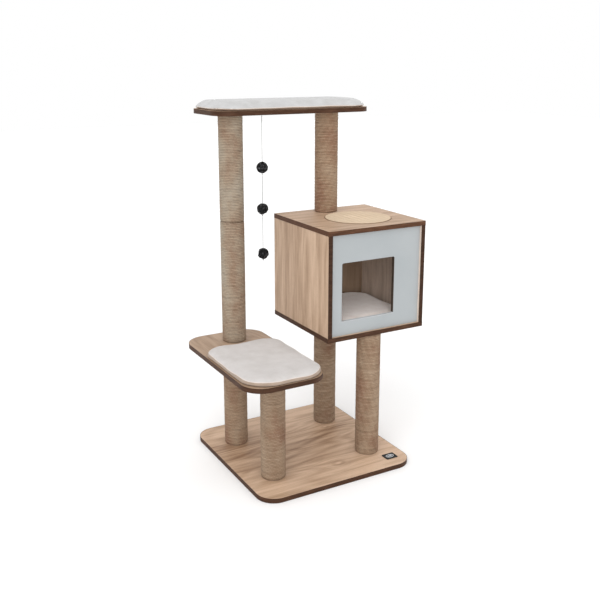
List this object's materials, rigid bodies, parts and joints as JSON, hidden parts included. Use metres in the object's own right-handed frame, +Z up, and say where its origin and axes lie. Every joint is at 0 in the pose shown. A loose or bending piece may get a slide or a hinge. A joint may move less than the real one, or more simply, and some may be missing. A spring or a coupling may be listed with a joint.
{
  "type": "cat tree",
  "caption": "Cat tree with rope-wound posts, a cushioned middle shelf, a cube house with a doorway, a cushioned top shelf and a hanging string of woven balls.",
  "frame": {"origin": "centre of the base board's underside, on the floor", "axes": "+Z up, -Y out of the house's doorway, +X towards the house's side"},
  "size_m": [0.708, 0.604, 1.19],
  "materials": {
    "oak_laminate": "light oak laminate, satin",
    "dark_edging": "dark walnut-brown edge banding, satin",
    "grey_panel": "pale blue-grey satin paint on board",
    "cardboard": "brown tube board",
    "seagrass_rope": "twisted seagrass rope, matt",
    "woven_pad": "woven seagrass, matt",
    "cushion_cloth": "light grey short-pile cloth with a cream edge",
    "cap_plastic": "moulded, matt",
    "steel": "zinc-plated steel",
    "dowel_wood": "beech, bare",
    "cam_metal": "die-cast, satin",
    "hook_tape": "woven tape with hooks",
    "loop_tape": "woven tape with loops",
    "plate_black": "gloss black",
    "toy_string": "pale twisted cord",
    "toy_weave": "black woven paper cord"
  },
  "bodies": {
    "stand": {"base_board": "oak_laminate", "middle_shelf": "oak_laminate", "top_shelf": "oak_laminate", "house_floor": "oak_laminate", "house_roof": "oak_laminate", "house_left_wall": "oak_laminate", "house_right_wall": "oak_laminate", "house_back_wall": "oak_laminate", "base_edge_band": "dark_edging", "middle_shelf_edge_band": "dark_edging", "top_shelf_edge_band": "dark_edging", "house_floor_edge_band": "dark_edging", "house_roof_edge_band": "dark_edging", "side_wall_edge_bands": "dark_edging", "house_front_panel": "grey_panel", "doorway_edge_band": "grey_panel", "post_tube_front_left": "cardboard", "rope_wrap_front_left": "seagrass_rope", "post_tube_front_right": "cardboard", "rope_wrap_front_right": "seagrass_rope", "post_tube_rear_right_lower": "cardboard", "rope_wrap_rear_right_lower": "seagrass_rope", "post_tube_rear_right_upper": "cardboard", "rope_wrap_rear_right_upper": "seagrass_rope", "post_tube_rear_left_lower": "cardboard", "rope_wrap_rear_left_lower": "seagrass_rope", "post_tube_rear_left_middle": "cardboard", "rope_wrap_rear_left_middle": "seagrass_rope", "post_tube_rear_left_upper": "cardboard", "rope_wrap_rear_left_upper": "seagrass_rope", "post_end_caps": "cap_plastic", "threaded_inserts": "steel", "post_bolts": "steel", "bolt_washers": "steel", "joining_studs": "steel", "cam_bolts": "steel", "house_dowels": "dowel_wood", "cam_locks": "cam_metal", "scratch_pad": "woven_pad", "house_cushion": "cushion_cloth", "shelf_hook_patches": "hook_tape", "name_plate": "plate_black", "toy_anchor_knot": "toy_string"},
    "top_cushion_set": {"top_cushion": "cushion_cloth", "top_cushion_loop_patches": "loop_tape"},
    "middle_cushion_set": {"middle_cushion": "cushion_cloth", "middle_cushion_loop_patches": "loop_tape"},
    "toy_hanger": {"toy_top_knot": "toy_string"},
    "toy_upper_part": {"toy_string_upper": "toy_string", "toy_ball_upper": "toy_weave", "toy_upper_knot": "toy_string"},
    "toy_middle_part": {"toy_string_middle": "toy_string", "toy_ball_middle": "toy_weave", "toy_middle_knot": "toy_string"},
    "toy_lower_part": {"toy_string_lower": "toy_string", "toy_ball_lower": "toy_weave", "toy_lower_knot": "toy_string"}
  },
  "joints": [
    {"name": "top_cushion_lift", "type": "slide", "parent": "stand", "child": "top_cushion_set", "axis": [0, 0, 1], "range_m": [0, 0.12]},
    {"name": "middle_cushion_lift", "type": "slide", "parent": "stand", "child": "middle_cushion_set", "axis": [0, 0, 1], "range_m": [0, 0.12]},
    {"name": "toy_side_swing", "type": "hinge", "parent": "stand", "child": "toy_hanger", "pos_m": [-0.1, 0.075, 1.1433], "axis": [0, 1, 0], "range_deg": [-8, 20]},
    {"name": "toy_swing", "type": "hinge", "parent": "toy_hanger", "child": "toy_upper_part", "pos_m": [-0.1, 0.075, 1.1433], "axis": [1, 0, 0], "range_deg": [-45, 45]},
    {"name": "toy_upper_bend", "type": "hinge", "parent": "toy_upper_part", "child": "toy_middle_part", "pos_m": [-0.1, 0.075, 0.958], "axis": [1, 0, 0], "range_deg": [-30, 30]},
    {"name": "toy_lower_bend", "type": "hinge", "parent": "toy_middle_part", "child": "toy_lower_part", "pos_m": [-0.1, 0.075, 0.823], "axis": [1, 0, 0], "range_deg": [-30, 30]}
  ]
}
